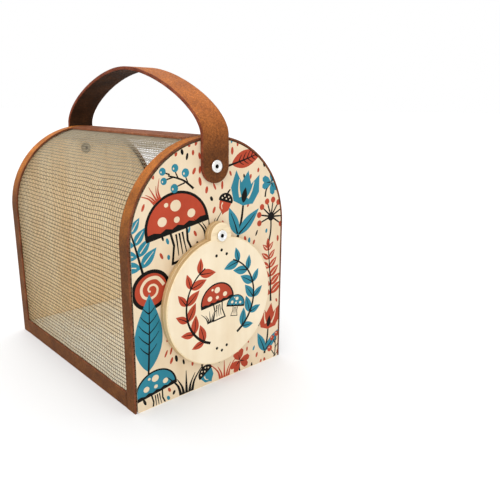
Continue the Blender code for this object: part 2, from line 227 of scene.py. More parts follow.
def feed(tree, socket, value):
    """Link a socket to another one, or set it to a value."""
    if isinstance(value, bpy.types.NodeSocket):
        tree.links.new(value, socket)
    else:
        socket.default_value = value


def mix_colours(tree, one, two, factor, mode="MULTIPLY"):
    mix = tree.nodes.new("ShaderNodeMix")
    mix.data_type = "RGBA"
    mix.blend_type = mode
    for name, value in (("Factor", factor), ("A", one), ("B", two)):
        feed(tree, mix.inputs[name], value)
    return mix.outputs["Result"]


def add_math(tree, operation, one, two):
    node = tree.nodes.new("ShaderNodeMath")
    node.operation = operation
    feed(tree, node.inputs[0], one)
    feed(tree, node.inputs[1], two)
    return node.outputs[0]


def map_range(tree, source, low, high, to_low, to_high):
    node = tree.nodes.new("ShaderNodeMapRange")
    for name, value in (("From Min", low), ("From Max", high), ("To Min", to_low), ("To Max", to_high)):
        node.inputs[name].default_value = value
    tree.links.new(source, node.inputs["Value"])
    return node.outputs["Result"]


def height_of(tree):
    """The height over the floor, as the object's own Z."""
    place = tree.nodes.new("ShaderNodeTexCoord")
    split = tree.nodes.new("ShaderNodeSeparateXYZ")
    tree.links.new(place.outputs["Object"], split.inputs[0])
    return split.outputs["Z"]


def dress(tree, shader, colour, gloss, specular, heights, depth, strength):
    """Give a shader its colour, a roughness of (noise, low, high) and a bump from its heights, summed."""
    tree.links.new(colour, shader.inputs["Base Color"])
    source, low, high = gloss
    tree.links.new(map_range(tree, source, 0.3, 0.7, low, high), shader.inputs["Roughness"])
    shader.inputs["Specular IOR Level"].default_value = specular
    bump = tree.nodes.new("ShaderNodeBump")
    bump.inputs["Strength"].default_value = strength
    bump.inputs["Distance"].default_value = depth
    total = heights[0]
    for height in heights[1:]:
        total = add_math(tree, "ADD", total, height)
    tree.links.new(total, bump.inputs["Height"])
    tree.links.new(bump.outputs["Normal"], shader.inputs["Normal"])


def leather(name, dark, mid, light, roughness=0.72, painted_top_light=None):
    """Bonded leather with a fine nap: mottled colour, short fibres and a soft bump.

    The last argument is (low z, high z, tint): towards the higher place the leather takes the tint, a painted
    top light.
    """
    material, tree, shader = new_material(name, roughness)
    cloud = add_noise(tree, 85, 3)
    nap = add_noise(tree, 780, 3, rough=0.72)
    grain = add_noise(tree, 1700, 3, rough=0.7)
    colour = add_ramp(tree, cloud, ((0.22, dark), (0.5, mid), (0.8, light)))
    # Painted top light: a lighter tint that grows with height.
    if painted_top_light:
        low, high, tint = painted_top_light
        painted_light_share = map_range(tree, height_of(tree), low, high, 0, 1)
        colour = mix_colours(tree, colour, mix_colours(tree, colour, tint, 1.0), painted_light_share, "MIX")
    speck = add_ramp(tree, grain, ((0.28, (0.5, 0.46, 0.42, 1)), (0.5, WHITE), (0.74, (1.4, 1.36, 1.3, 1))))
    fleck = add_ramp(tree, nap, ((0.34, (0.46, 0.40, 0.34, 1)), (0.5, WHITE), (0.66, (1.6, 1.54, 1.46, 1))))
    colour = mix_colours(tree, mix_colours(tree, colour, speck, 0.9), fleck, 0.55)
    gloss = (grain, roughness - 0.12, roughness + 0.12)
    dress(tree, shader, colour, gloss, 0.16, [grain, nap], 0.00025, 0.7)
    return material


def plywood(name, pale, dark, stretch):
    """Bare birch ply with long grain and fine pores."""
    material, tree, shader = new_material(name, 0.6)
    grain = add_noise(tree, 55, 5, stretch, 0.6)
    pore = add_noise(tree, 420, 3, stretch, 0.7)
    base = add_ramp(tree, grain, ((0.32, dark), (0.62, pale)))
    fleck = add_ramp(tree, pore, ((0.34, (0.78, 0.72, 0.64, 1)), (0.5, WHITE)))
    colour = mix_colours(tree, base, fleck, 0.55)
    dress(tree, shader, colour, (pore, 0.7, 0.52), 0.35, [grain, pore], 0.0002, 0.5)
    return material


def ink(name, colour, ground=False):
    """Printing ink on sanded wood, with the grain just showing through; the ground's tone is more even."""
    material, tree, shader = new_material(name, 0.5)
    cloud = add_noise(tree, 45, 4)
    grain = add_noise(tree, 60, 4, (1, 1, 0.09), 0.65)
    fibres = add_noise(tree, 1100, 2, (1, 1, 0.15))
    thin, full = (0.84, 0.84, 0.84, 1), (1.08, 1.08, 1.08, 1)
    if ground:
        thin, full = (0.93, 0.90, 0.86, 1), WHITE
    tone = add_ramp(tree, cloud, ((0.3, thin), (0.65, full)))
    streak = add_ramp(tree, grain, ((0.36, (0.94, 0.91, 0.87, 1)), (0.56, WHITE)))
    shade = mix_colours(tree, colour, mix_colours(tree, tone, streak, 0.8), 1.0)
    dress(tree, shader, shade, (fibres, 0.42, 0.62), 0.10, [grain, fibres], 0.00008, 0.35)
    return material


def metal(name, colour, roughness):
    material, tree, shader = new_material(name, roughness, 1.0)
    cloud = add_noise(tree, 600, 4)
    shade = (*[channel * 0.86 for channel in colour[:3]], 1)
    tint = add_ramp(tree, cloud, ((0.3, shade), (0.7, colour)))
    dress(tree, shader, tint, (cloud, roughness, roughness + 0.12), 0.5, [cloud], 0.00004, 0.25)
    return material


def wire_material(name, dark, mid, light):
    """Galvanised wire of a brown tone, painted lighter and greyer over the top of the arch as painted top
    light.
    """
    material, tree, shader = new_material(name, 0.5, 0.1)
    cloud = add_noise(tree, 220, 4)
    tint = add_ramp(tree, cloud, ((0.3, dark), (0.52, mid), (0.75, light)))
    # Painted top light: the wire turns pale grey towards the top of the arch
    painted_light_mask = map_range(tree, height_of(tree), SPRING_Z + PAINTED_WIRE_LIGHT_FROM, ARCH_TOP - PAINTED_WIRE_LIGHT_TO, 0, PAINTED_WIRE_LIGHT_SHARE)
    colour = mix_colours(tree, tint, PAINTED_WIRE_LIGHT, painted_light_mask, "MIX")
    dress(tree, shader, colour, (cloud, 0.38, 0.6), 0.15, [cloud], 0.00003, 0.3)
    return material


def fibre(name, dark, light):
    material, tree, shader = new_material(name, 0.8)
    tint = add_ramp(tree, add_noise(tree, 900, 3), ((0.3, dark), (0.7, light)))
    tree.links.new(tint, shader.inputs["Base Color"])
    return material


# Pieces

def whole_turn(steps):
    return [2 * math.pi * k / steps for k in range(steps)]


def mesh_of(name, bm):
    mesh = bpy.data.meshes.new(name)
    bm.to_mesh(mesh)
    bm.free()
    return mesh


def add_object(name, data):
    obj = bpy.data.objects.new(name, data)
    bpy.context.scene.collection.objects.link(obj)
    return obj


def add_piece(name, bm, materials, body, replaces=(), smooth_deg=40):
    """Turn a bmesh in world space into a shown piece that rides on a body."""
    mesh = mesh_of(name, bm)
    for material in materials:
        mesh.materials.append(material)
    mesh.shade_smooth()
    mesh.set_sharp_from_angle(angle=math.radians(smooth_deg))
    obj = add_object(name, mesh)
    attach(obj, body)
    if replaces:
        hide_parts(*replaces)
    return obj


def skin(bm, rings, closed=False, material_of=None):
    """Join rings of points into one body with its faces outward, and return its faces."""
    made = [[bm.verts.new(point) for point in ring] for ring in rings]
    faces = []
    pairs = list(zip(made, made[1:]))
    if closed:
        pairs.append((made[-1], made[0]))
    else:
        faces.append(bm.faces.new(made[0]))
        faces.append(bm.faces.new(list(reversed(made[-1]))))
    for one, two in pairs:
        for i in range(len(one)):
            j = (i + 1) % len(one)
            face = bm.faces.new((one[i], two[i], two[j], one[j]))
            if material_of:
                face.material_index = material_of[i]
            faces.append(face)
    bmesh.ops.recalc_face_normals(bm, faces=faces)
    return faces


def cut_holes(obj, holes, steps=48):
    """Take cylinders along Y, (z, radius, y_low, y_high) and middle at x 0, out of a piece, and apply it."""
    bm = bmesh.new()
    for z, radius, *ends in holes:
        rim = [(radius * math.cos(turn), z + radius * math.sin(turn)) for turn in whole_turn(steps)]
        skin(bm, [[(x, y, up) for x, up in rim] for y in ends])
    cutter = add_object("hole_cutter", mesh_of("hole_cutter", bm))
    modifier = obj.modifiers.new("holes", "BOOLEAN")
    modifier.operation = "DIFFERENCE"
    modifier.solver = "EXACT"
    modifier.object = cutter
    bpy.context.view_layer.update()
    shown = obj.evaluated_get(bpy.context.evaluated_depsgraph_get())
    done = bpy.data.meshes.new_from_object(shown)
    obj.modifiers.clear()
    old = obj.data
    obj.data = done
    bpy.data.meshes.remove(old)
    bpy.data.objects.remove(cutter)


# Leather strips and the strap

# Kinds of face, which are also the places of their materials
OUTER, EDGE, INNER = 0, 1, 2


def strip_profile(width, thickness, radius, across):
    """A rounded rectangle as (across, out, kind of face)."""
    points = []
    right, high = width / 2 - radius, thickness / 2 - radius
    flat = 2 * right
    corners = ((right, high, 0), (-right, high, 90), (-right, -high, 180), (right, -high, 270))
    for centre_w, centre_t, start in corners:
        for k in range(CORNER_STEPS + 1):
            turn = math.radians(start + 90 * k / CORNER_STEPS)
            points.append((centre_w + radius * math.cos(turn), centre_t + radius * math.sin(turn), EDGE))
        if start == 0:
            points += [(right - flat * k / across, thickness / 2, OUTER) for k in range(1, across)]
        if start == 180:
            points += [(flat * k / across - right, -thickness / 2, INNER) for k in range(1, across)]
    return points


def sweep_strip(bm, stations, thickness, radius, across, nap):
    """Sweep a rounded strip along stations of (centre, side, out, width), with a slightly uneven nap."""
    rings = []
    kinds = []
    for centre, side, out, width in stations:
        ring = []
        profile = strip_profile(width, thickness, radius, across)
        for w, t, kind in profile:
            point = centre + side * w + out * t
            sunk = abs(noise.noise(point * NAP_SCALE + NAP_SHIFT)) * nap * NAP_SHARE
            place = point - out * math.copysign(sunk, t)
            if kind == EDGE:
                frayed = abs(noise.noise(point * FRAY_SCALE)) * nap
                place -= side * math.copysign(frayed, w)
            ring.append(place)
        rings.append(ring)
        kinds = [kind for _, _, kind in profile]
    face_kinds = []
    for pair in zip(kinds, kinds[1:] + kinds[:1]):
        face_kinds.append(OUTER if OUTER in pair else INNER if INNER in pair else EDGE)
    skin(bm, rings, material_of=face_kinds)


def arch_stations(radius, y, width, first_deg, last_deg, step):
    """Stations round the arch, from 0 degrees at its right foot to 180 at its left."""
    stations = []
    count = int(math.radians(last_deg - first_deg) * radius / step)
    for k in range(count + 1):
        turn = math.radians(first_deg + (last_deg - first_deg) * k / count)
        out = Vector((math.cos(turn), 0, math.sin(turn)))
        stations.append((Vector((0, y, SPRING_Z)) + out * radius, Vector((0, 1, 0)), out, width))
    return stations


def straight_stations(start, end, side, out, width, step):
    start, end = Vector(start), Vector(end)
    count = int((end - start).length / step)
    return [(start.lerp(end, k / count), Vector(side), Vector(out), width) for k in range(count + 1)]


def trim_strip(name, stations, across, materials):
    bm = bmesh.new()
    sweep_strip(bm, stations, TRIM_T, TRIM_ROUND, across, TRIM_NAP)
    add_piece(name + "_leather", bm, materials, "box", (name,))


def edge_trims(materials):
    """The strips over the edges of the panels, from the right foot over the arch to the left foot."""
    for name in ("front_edge_trim", "back_edge_trim"):
        low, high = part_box(name)
        y, width = (low.y + high.y) / 2, high.y - low.y
        foot, spring = (TRIM_MID_R, y, low.z), (TRIM_MID_R, y, SPRING_Z)
        right = straight_stations(foot, spring, (0, 1, 0), (1, 0, 0), width, 2 * TRIM_STEP)[:-1]
        left = []
        for place, side, out, _ in reversed(right):
            left.append((Vector((-place.x, y, place.z)), side, -out, width))
        arch = arch_stations(TRIM_MID_R, y, width, 0, 180, TRIM_STEP)
        trim_strip(name, right + arch + left, TRIM_ACROSS, materials)


def base_trims(materials):
    for name, sign in (("right_base_trim", 1), ("left_base_trim", -1)):
        low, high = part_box(name)
        x, z = sign * TRIM_MID_R, (low.z + high.z) / 2
        start, end, width = (x, low.y, z), (x, high.y, z), high.z - low.z
        stations = straight_stations(start, end, (0, 0, 1), (sign, 0, 0), width, BASE_STEP)
        trim_strip(name, stations, TRIM_ACROSS, materials)


def ridge_trim(materials):
    """The strip along the top: wide, and bent round the arch across its width."""
    half_deg = math.degrees(RIDGE_HIGH.x / ARCH_R)
    mid_y, length = (RIDGE_LOW.y + RIDGE_HIGH.y) / 2, RIDGE_HIGH.y - RIDGE_LOW.y
    stations = arch_stations(TRIM_MID_R, mid_y, length, 90 - half_deg, 90 + half_deg, RIDGE_STEP)
    trim_strip("ridge_trim", stations, RIDGE_ACROSS, materials)


def strap_stations():
    """Along the strap: round the tip, up the front, over in one smooth arch and down the back."""
    mid_y = STRAP_HIGH.y - STRAP_T / 2
    bend_z = ARCH_TOP + HANDLE_BEND_RISE
    width = STRAP_HIGH.x - STRAP_LOW.x
    half = []
    for k in range(TIP_STEPS + 1):
        turn = math.radians(TIP_START_DEG + (90 - TIP_START_DEG) * k / TIP_STEPS)
        half.append((mid_y, HANDLE_RIVET_Z - width / 2 * math.cos(turn), width * math.sin(turn)))
    for k in range(1, DROP_STEPS):
        half.append((mid_y, HANDLE_RIVET_Z + (bend_z - HANDLE_RIVET_Z) * k / DROP_STEPS, width))
    crown_z = ARCH_TOP + HANDLE_RISE
    guides = ((mid_y, bend_z), (mid_y, bend_z + HANDLE_SHOULDER), (HANDLE_CROWN, crown_z), (0.0, crown_z))
    a, b, c, d = [Vector(place) for place in guides]
    for k in range(CROWN_STEPS + 1):
        t = k / CROWN_STEPS
        s = 1 - t
        point = s ** 3 * a + 3 * s * s * t * b + 3 * s * t * t * c + t ** 3 * d
        half.append((point.x, point.y, width))
    line = [(-y, z, w) for y, z, w in half] + [(y, z, w) for y, z, w in reversed(half[:-1])]
    stations = []
    for i, (y, z, w) in enumerate(line):
        before, after = line[max(i - 1, 0)], line[min(i + 1, len(line) - 1)]
        along = Vector((after[0] - before[0], after[1] - before[1])).normalized()
        stations.append((Vector((0, y, z)), Vector((1, 0, 0)), Vector((0, -along.y, along.x)), w))
    return stations


def strap(materials):
    bm = bmesh.new()
    sweep_strip(bm, strap_stations(), STRAP_T, STRAP_ROUND, STRAP_ACROSS, STRAP_NAP)
    piece = add_piece("strap_handle", bm, materials, "handle", ("handle_strap",))
    hole_low = STRAP_HIGH.y - STRAP_T - CUT_MARGIN
    hole_high = STRAP_HIGH.y + CUT_MARGIN
    cut_holes(piece, [(HANDLE_RIVET_Z, SHANK_HOLE_R, hole_low, hole_high),
                      (HANDLE_RIVET_Z, SHANK_HOLE_R, -hole_high, -hole_low)])


# Woven wire

def section_place(length, side):
    """The mesh's middle surface at a length up from its foot: point (x, z) and the way out."""
    straight = SPRING_Z - MESH_LOW.z
    if length <= straight:
        return Vector((side * MESH_MID_R, MESH_LOW.z + length)), Vector((side, 0))
    turn = (length - straight) / MESH_MID_R
    out = Vector((side * math.cos(turn), math.sin(turn)))
    return Vector((0, SPRING_Z)) + out * MESH_MID_R, out


def add_tube(points, ups, radius, verts, faces):
    """Add a closed tube along points to the verts and faces; ups hold a vector square to the run for each."""
    start = len(verts)
    last = len(points) - 1
    for i, point in enumerate(points):
        along = (points[min(i + 1, last)] - points[max(i - 1, 0)]).normalized()
        up = ups[i]
        side = along.cross(up).normalized()
        up = side.cross(along)
        for turn in whole_turn(WIRE_SIDES):
            verts.append(point + up * (radius * math.cos(turn)) + side * (radius * math.sin(turn)))
    for i in range(last):
        a, b = start + i * WIRE_SIDES, start + (i + 1) * WIRE_SIDES
        for k in range(WIRE_SIDES):
            j = (k + 1) % WIRE_SIDES
            faces.append((a + k, a + j, b + j, b + k))
    faces.append(tuple(start + k for k in reversed(range(WIRE_SIDES))))
    faces.append(tuple(start + last * WIRE_SIDES + k for k in range(WIRE_SIDES)))


def weave(side, ys, lengths, inset, verts, long_faces, hoop_faces):
    """One layer of plain weave: each wire goes over one crossing and under the next.

    The first and last of the ys and lengths are the layer's edges, the others the places of the wires.
    """
    for i, length in enumerate(lengths[1:-1]):
        points, ups = [], []
        for j, y in enumerate(ys):
            sway = noise.noise(Vector((length * LONG_SWAY_UP, y * LONG_SWAY_ALONG, side))) * LONG_SWAY
            flat, out = section_place(length + sway, side)
            up = Vector((out.x, 0, out.y))
            over = HOOP_WIRE_R * (1 if (i + j) % 2 else -1) - inset
            points.append(Vector((flat.x, y, flat.y)) + up * over)
            ups.append(up)
        add_tube(points, ups, LONG_WIRE_R, verts, long_faces)
    for j, y in enumerate(ys[1:-1], start=1):
        points, ups = [], []
        for i, length in enumerate(lengths, start=-1):
            flat, out = section_place(length, side)
            up = Vector((out.x, 0, out.y))
            seed = Vector((length * HOOP_SWAY_SCALE, y * HOOP_SWAY_SCALE, side + HOOP_SWAY_SEED))
            over = LONG_WIRE_R * (-1 if (i + j) % 2 else 1) - inset
            points.append(Vector((flat.x, y + noise.noise(seed) * HOOP_SWAY, flat.y)) + up * over)
            ups.append(up)
        add_tube(points, ups, HOOP_WIRE_R, verts, hoop_faces)


def wire_places(low, high, shift=0.5):
    """Both ends of a stretch, and between them the wires, a pitch apart."""
    count = round((high - low) / WIRE_PITCH)
    return [low, *[low + (high - low) * (k + shift) / count for k in range(count)], high]


def wire_mesh(name, node, side, materials):
    """The woven mesh of one side, folded double in a hem under the ridge strip."""
    low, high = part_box(node)
    total = SPRING_Z - MESH_LOW.z + MESH_MID_R * math.pi / 2 - GAP
    verts, long_faces, hoop_faces = [], [], []
    weave(side, wire_places(low.y, high.y), wire_places(0.0, total), 0.0, verts, long_faces, hoop_faces)
    behind_panel = PANEL_HIGH.y + GAP
    hem_ys = wire_places(behind_panel, -behind_panel, HEM_SHIFT_ALONG)
    hem_lengths = wire_places(total - HEM_W, total, HEM_SHIFT_UP)
    weave(side, hem_ys, hem_lengths, HEM_INSET, verts, long_faces, hoop_faces)
    mesh = bpy.data.meshes.new(name)
    mesh.from_pydata(verts, [], long_faces + hoop_faces)
    for material in materials:
        mesh.materials.append(material)
    mesh.polygons.foreach_set("material_index", [0] * len(long_faces) + [1] * len(hoop_faces))
    mesh.shade_smooth()
    piece = add_object(name, mesh)
    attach(piece, "box")
    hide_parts(node)


# Printed motifs: each is a list of (colour, outline) in millimetres, later ones on top

def ellipse(x, y, rx, ry, tilt=0.0, steps=26):
    c, s = math.cos(math.radians(tilt)), math.sin(math.radians(tilt))
    points = []
    for turn in whole_turn(steps):
        a, b = rx * math.cos(turn), ry * math.sin(turn)
        points.append((x + a * c - b * s, y + a * s + b * c))
    return points


def black_line(points, start_w, end_w):
    return "black", stroke(points, start_w, end_w)


def leaf_outline(length, width, swell=0.8, steps=14):
    """A pointed leaf from (0, 0) up to (0, length)."""
    right = []
    for k in range(1, steps):
        t = k / steps
        right.append((width / 2 * math.sin(math.pi * t ** swell), length * t))
    left = [(-x, y) for x, y in reversed(right)]
    return [(0, 0), *right, (0, length), *left]


def arc(rx, ry, y, degrees):
    """Points of an ellipse about (0, y) at some angles."""
    turns = [math.radians(a) for a in degrees]
    return [(rx * math.cos(turn), y + ry * math.sin(turn)) for turn in turns]


def between(a, b, c, d, t):
    """A value from b to c, on a smooth curve that comes from a and goes on to d."""
    slope, bow, twist = c - a, 2 * a - 5 * b + 4 * c - d, 3 * b - a - 3 * c + d
    return 0.5 * (2 * b + slope * t + bow * t * t + twist * t ** 3)


def curve_through(points, steps=7):
    """A smooth line through a few points."""
    ends = [points[0], *points, points[-1]]
    line = []
    for a, b, c, d in zip(ends, ends[1:], ends[2:], ends[3:]):
        for k in range(steps):
            line.append(tuple(between(a[n], b[n], c[n], d[n], k / steps) for n in (0, 1)))
    line.append(points[-1])
    return line


def stroke(points, start_w, end_w):
    """A brush stroke through a few points, from one width to another."""
    line = curve_through(points)
    left, right = [], []
    for i, (x, y) in enumerate(line):
        before, after = line[max(i - 1, 0)], line[min(i + 1, len(line) - 1)]
        dx, dy = after[0] - before[0], after[1] - before[1]
        size = math.hypot(dx, dy) or 1.0
        t = i / (len(line) - 1)
        w = (start_w + (end_w - start_w) * t) / 2
        left.append((x - dy / size * w, y + dx / size * w))
        right.append((x + dy / size * w, y - dx / size * w))
    return left + right[::-1]


def moved(shapes, x, y, scale=1.0, tilt=0.0):
    """Shapes scaled, then turned, then moved to (x, y)."""
    c, s = math.cos(math.radians(tilt)) * scale, math.sin(math.radians(tilt)) * scale
    placed = []
    for colour, outline in shapes:
        placed.append((colour, [(x + a * c - b * s, y + a * s + b * c) for a, b in outline]))
    return placed


def veined_leaf(colour, length):
    width = length * 0.40
    shapes = [(colour, leaf_outline(length, width)),
              black_line([(0, -length * 0.16), (0.4, length * 0.4), (0, length * 0.93)], 1.5, 0.4)]
    for k in range(1, 6):
        y = length * (0.1 + 0.13 * k)
        reach = width * 0.36 * math.sin(math.pi * (y / length) ** 0.8)
        for side in (1, -1):
            rib = [(0, y), (side * reach * 0.6, y + reach * 0.5), (side * reach, y + reach)]
            shapes.append(black_line(rib, 0.9, 0.3))
    return shapes


def fern(colour, length, pairs=6):
    shapes = []
    for k in range(pairs):
        t = (k + 0.6) / pairs
        size = length * (0.34 - 0.18 * t)
        for side in (1, -1):
            leaf = [(colour, leaf_outline(size, size * 0.44)),
                    ("cream", stroke([(0, size * 0.2), (0, size * 0.5), (0, size * 0.8)], 0.7, 0.3))]
            shapes += moved(leaf, 0, length * t * 0.9, 1, -side * (64 - 22 * t))
    shapes += moved([(colour, leaf_outline(length * 0.17, length * 0.075))], 0, length * 0.88)
    shapes.append(black_line([(0, -2), (0.5, length * 0.4), (0, length * 0.97)], 1.8, 0.5))
    return shapes


def mushroom(colour, size):
    """A toadstool with a domed cap, round spots and a short striped stem."""
    cap = arc(0.50, 0.44, 0.52, range(0, 181, 9))
    hem = [(-0.50 + 0.1 * k, 0.49 + 0.035 * (k % 2)) for k in range(1, 10)]
    rim = arc(0.55, 0.50, 0.50, range(-8, 189, 7))
    stem = [(-0.13, 0.50), (-0.10, 0.25), (-0.17, 0.02), (0.17, 0.02), (0.10, 0.25), (0.13, 0.50)]
    dark = [(-0.17, 0.52), (-0.14, 0.25), (-0.22, -0.02), (0.22, -0.02), (0.14, 0.25), (0.17, 0.52)]
    shapes = [("black", dark), ("cream", stem), ("black", rim), (colour, cap + hem)]
    for x, y, r in ((-0.24, 0.64, 0.075), (0.02, 0.80, 0.09), (0.26, 0.62, 0.07), (0.0, 0.60, 0.05),
                    (-0.13, 0.85, 0.035)):
        shapes.append(("cream", ellipse(x, y, r, r * 0.9, 0, 16)))
    for x in (-0.055, 0.0, 0.055):
        shapes.append(black_line([(x, 0.40), (x * 1.1, 0.24), (x * 1.3, 0.08)], 0.034, 0.014))
    return moved(shapes, 0, 0, size)


def tulip(colour, size):
    cup = [(0, 0.50), (0.20, 0.55), (0.29, 0.74), (0.24, 1.0), (0.10, 0.84), (0, 1.03), (-0.10, 0.84),
           (-0.24, 1.0), (-0.29, 0.74), (-0.20, 0.55)]
    shapes = [black_line([(0, 0), (0.02, 0.3), (0, 0.58)], 0.055, 0.035)]
    for tilt, length in ((-38, 0.56), (34, 0.48)):
        leaf = [("blue", leaf_outline(length, 0.18)),
                black_line([(0, 0.02), (0.01, length * 0.4), (0, length * 0.8)], 0.03, 0.008)]
        shapes += moved(leaf, 0, 0.05, 1, tilt)
    shapes.append((colour, cup))
    shapes += moved([("black", leaf_outline(0.24, 0.11))], 0, 0.54)
    for x in (-0.13, 0.13):
        shapes.append(("cream", stroke([(x * 0.6, 0.62), (x, 0.74), (x * 1.15, 0.88)], 0.045, 0.014)))
    return moved(shapes, 0, 0, size)


def clover(colour, size):
    shapes = [black_line([(0, 0), (-0.08, 0.25), (0, 0.52)], 0.075, 0.05)]
    outline = [(0, 0), (0.17, 0.14), (0.24, 0.30), (0.17, 0.42), (0.07, 0.42), (0, 0.34), (-0.07, 0.42),
               (-0.17, 0.42), (-0.24, 0.30), (-0.17, 0.14)]
    lobe = [(colour, outline), black_line([(0, 0.02), (0, 0.12), (0, 0.22)], 0.05, 0.014)]
    for tilt in (0, 118, -118):
        shapes += moved(lobe, 0, 0.56, 1, tilt)
    return moved(shapes, 0, 0, size)


def berries(colour, size):
    """Berries of (x, y, radius, height of their stalk's foot) on a stem."""
    shapes = [black_line([(0, 0), (0.05, 0.35), (-0.02, 0.75)], 0.06, 0.03)]
    for x, y, r, joint in ((0.22, 0.36, 0.10, 0.16), (-0.20, 0.48, 0.10, 0.28), (0.20, 0.66, 0.09, 0.46),
                           (-0.17, 0.80, 0.08, 0.6), (0.0, 0.92, 0.085, 0.72)):
        shapes.append(black_line([(0.02, joint), (x * 0.6, y - 0.06), (x, y)], 0.036, 0.026))
        shapes.append((colour, ellipse(x, y, r, r, 0, 20)))
        shapes.append(("cream", ellipse(x - r * 0.3, y + r * 0.3, r * 0.28, r * 0.2, 30, 10)))
    return moved(shapes, 0, 0, size)


def acorn(colour, size):
    nut = [(0, -0.48), (0.06, -0.40), (0.24, -0.26), (0.30, 0.0), (0.29, 0.10), (-0.29, 0.10), (-0.30, 0.0),
           (-0.24, -0.26), (-0.06, -0.40)]
    cup = arc(0.36, 0.30, 0.08, range(0, 181, 12))
    shapes = [(colour, nut), ("black", [*cup, (-0.34, 0.03), (0.34, 0.03)]),
              black_line([(0, 0.34), (0.03, 0.44), (0.09, 0.54)], 0.09, 0.06),
              ("cream", stroke([(-0.13, -0.02), (-0.15, -0.14), (-0.08, -0.28)], 0.06, 0.02))]
    for x, y in ((-0.2, 0.15), (0, 0.15), (0.2, 0.15), (-0.1, 0.25), (0.1, 0.25)):
        shapes.append(("cream", ellipse(x, y, 0.035, 0.035, 0, 8)))
    return moved(shapes, 0, 0, size)


def seed_head(colour, size):
    """A round seed head: a stem and rays with a dot at the end of each."""
    shapes = [black_line([(0, 0), (0.04, 0.3), (0, 0.6)], 0.05, 0.035)]
    for k in range(9):
        turn = math.radians(-25 + 230 * k / 8)
        x, y = math.cos(turn), math.sin(turn)
        ray = [(reach * x, 0.62 + reach * y) for reach in (0.04, 0.17, 0.29)]
        shapes.append(black_line(ray, 0.04, 0.028))
        shapes.append((colour, ellipse(0.34 * x, 0.62 + 0.34 * y, 0.062, 0.062, 0, 14)))
    shapes.append(("black", ellipse(0, 0.62, 0.09, 0.09, 0, 16)))
    return moved(shapes, 0, 0, size)


def shell(colour, size):
    """A snail's shell: a disc with a spiral line."""
    shapes = [("black", ellipse(0, 0, 0.52, 0.48, 0, 36)), (colour, ellipse(0, 0, 0.43, 0.39, 0, 36))]
    spiral = []
    for k in range(13):
        turn = math.radians(50 * k)
        reach = 0.35 - 0.026 * k
        spiral.append((reach * math.cos(turn), 0.92 * reach * math.sin(turn)))
    shapes.append(("cream", stroke(spiral, 0.085, 0.035)))
    return moved(shapes, 0, 0, size)


def grass(colour, size, blades=5):
    shapes = []
    for k in range(blades):
        lean = (k - (blades - 1) / 2) * 0.24
        tall = 1.0 - 0.22 * (k % 2)
        blade = [(lean * 0.5, 0), (lean * 0.8, tall * 0.5), (lean * 1.7, tall)]
        shapes.append((colour, stroke(blade, 0.15, 0.02)))
    return moved(shapes, 0, 0, size)


# Motif, colour, size in mm, place across and up from the middle of the base in mm, tilt in degrees
FRONT_LAYOUT = (
    (fern, "blue", 46, -51, 84, 16), (mushroom, "red", 41, -23, 88, 10), (berries, "blue", 26, -15, 129, 62),
    (veined_leaf, "red", 27, 14, 141, -76), (tulip, "blue", 42, 19, 94, -12),
    (seed_head, "red", 33, 46, 84, -8), (acorn, "red", 16, 9, 118, -18), (clover, "blue", 19, 43, 118, -30),
    (shell, "red", 25, -46, 74, 10), (fern, "red", 42, 50, 46, 5), (veined_leaf, "blue", 48, -50, 24, -3),
    (mushroom, "blue", 27, -43, -3, 8), (tulip, "red", 36, 45, 6, -9), (grass, "black", 17, -23, -1, 0),
    (clover, "red", 20, 24, -3, 12), (acorn, "blue", 17, -7, 8, 32), (grass, "red", 14, 8, -1, 0),
    (grass, "black", 13, -3, 99, 6), (berries, "red", 24, 53, -4, -10), (grass, "red", 10, -40, 124, 32),
    (seed_head, "black", 22, 0, 143, -8))
BACK_LAYOUT = (
    (fern, "blue", 54, -36, 82, 20), (mushroom, "red", 46, 14, 88, -10), (tulip, "blue", 48, -12, 38, 10),
    (shell, "red", 33, 35, 62, 0), (berries, "red", 38, -36, 26, 14), (clover, "blue", 32, 42, 92, -24),
    (seed_head, "blue", 38, 17, 15, -16), (acorn, "red", 23, -45, 72, 24),
    (veined_leaf, "red", 44, 47, 4, -4), (grass, "black", 22, -46, -1, 0), (fern, "red", 36, -14, -2, 6),
    (mushroom, "blue", 28, 27, -3, 8), (veined_leaf, "blue", 34, -22, 118, 32),
    (acorn, "blue", 18, -4, 88, 12), (berries, "red", 28, 32, 124, -44), (veined_leaf, "red", 26, 50, 78, 12),
    (grass, "black", 17, 8, 64, -10), (clover, "red", 22, -22, 104, -8), (grass, "red", 14, -28, -1, 0),
    (seed_head, "black", 22, 0, 140, 4))
FILL_TRIES = 4200
FILL_COLOURS = ("red", "red", "red", "red", "black", "blue")


def laid_out(layout):
    shapes = []
    for motif, colour, size, x, z, tilt in layout:
        shapes += moved(motif(colour, size), x, z, 1.0, tilt)
    return shapes


def inside(point, outline):
    """Whether a ray from the point crosses the outline an odd number of times."""
    x, y = point
    odd = False
    for (ax, ay), (bx, by) in zip(outline, outline[1:] + outline[:1]):
        if (ay > y) != (by > y) and x < (bx - ax) * (y - ay) / (by - ay) + ax:
            odd = not odd
    return odd


def bounds_of(outline):
    across, up = [x for x, _ in outline], [y for _, y in outline]
    return min(across), max(across), min(up), max(up)


def scattered(shapes, half_width, height, seed):
    """Small seeds in the free places, so that the print is as dense all over."""
    dice = random.Random(seed)
    taken = [point for _, outline in shapes for point in outline]
    added = []
    for _ in range(FILL_TRIES):
        x, y = dice.uniform(-half_width, half_width), dice.uniform(0, height)
        long, wide = dice.uniform(1.5, 2.9), dice.uniform(0.7, 1.1)
        room = long + 1.2
        if any(abs(a - x) < room and abs(b - y) < room for a, b in taken):
            continue
        if any(inside((x, y), outline) for _, outline in shapes):
            continue
        seedling = ellipse(x, y, wide, long, dice.uniform(-30, 30), 12)
        added.append((dice.choice(FILL_COLOURS), seedling))
        taken += [(x, y), (x, y + long), (x, y - long)]
    return added


def arch_outline(radius, foot_z, spring_z, steps=72):
    arch = arc(radius, radius, spring_z, [180 * k / steps for k in range(steps + 1)])
    return [(radius, foot_z), *arch, (-radius, foot_z)]


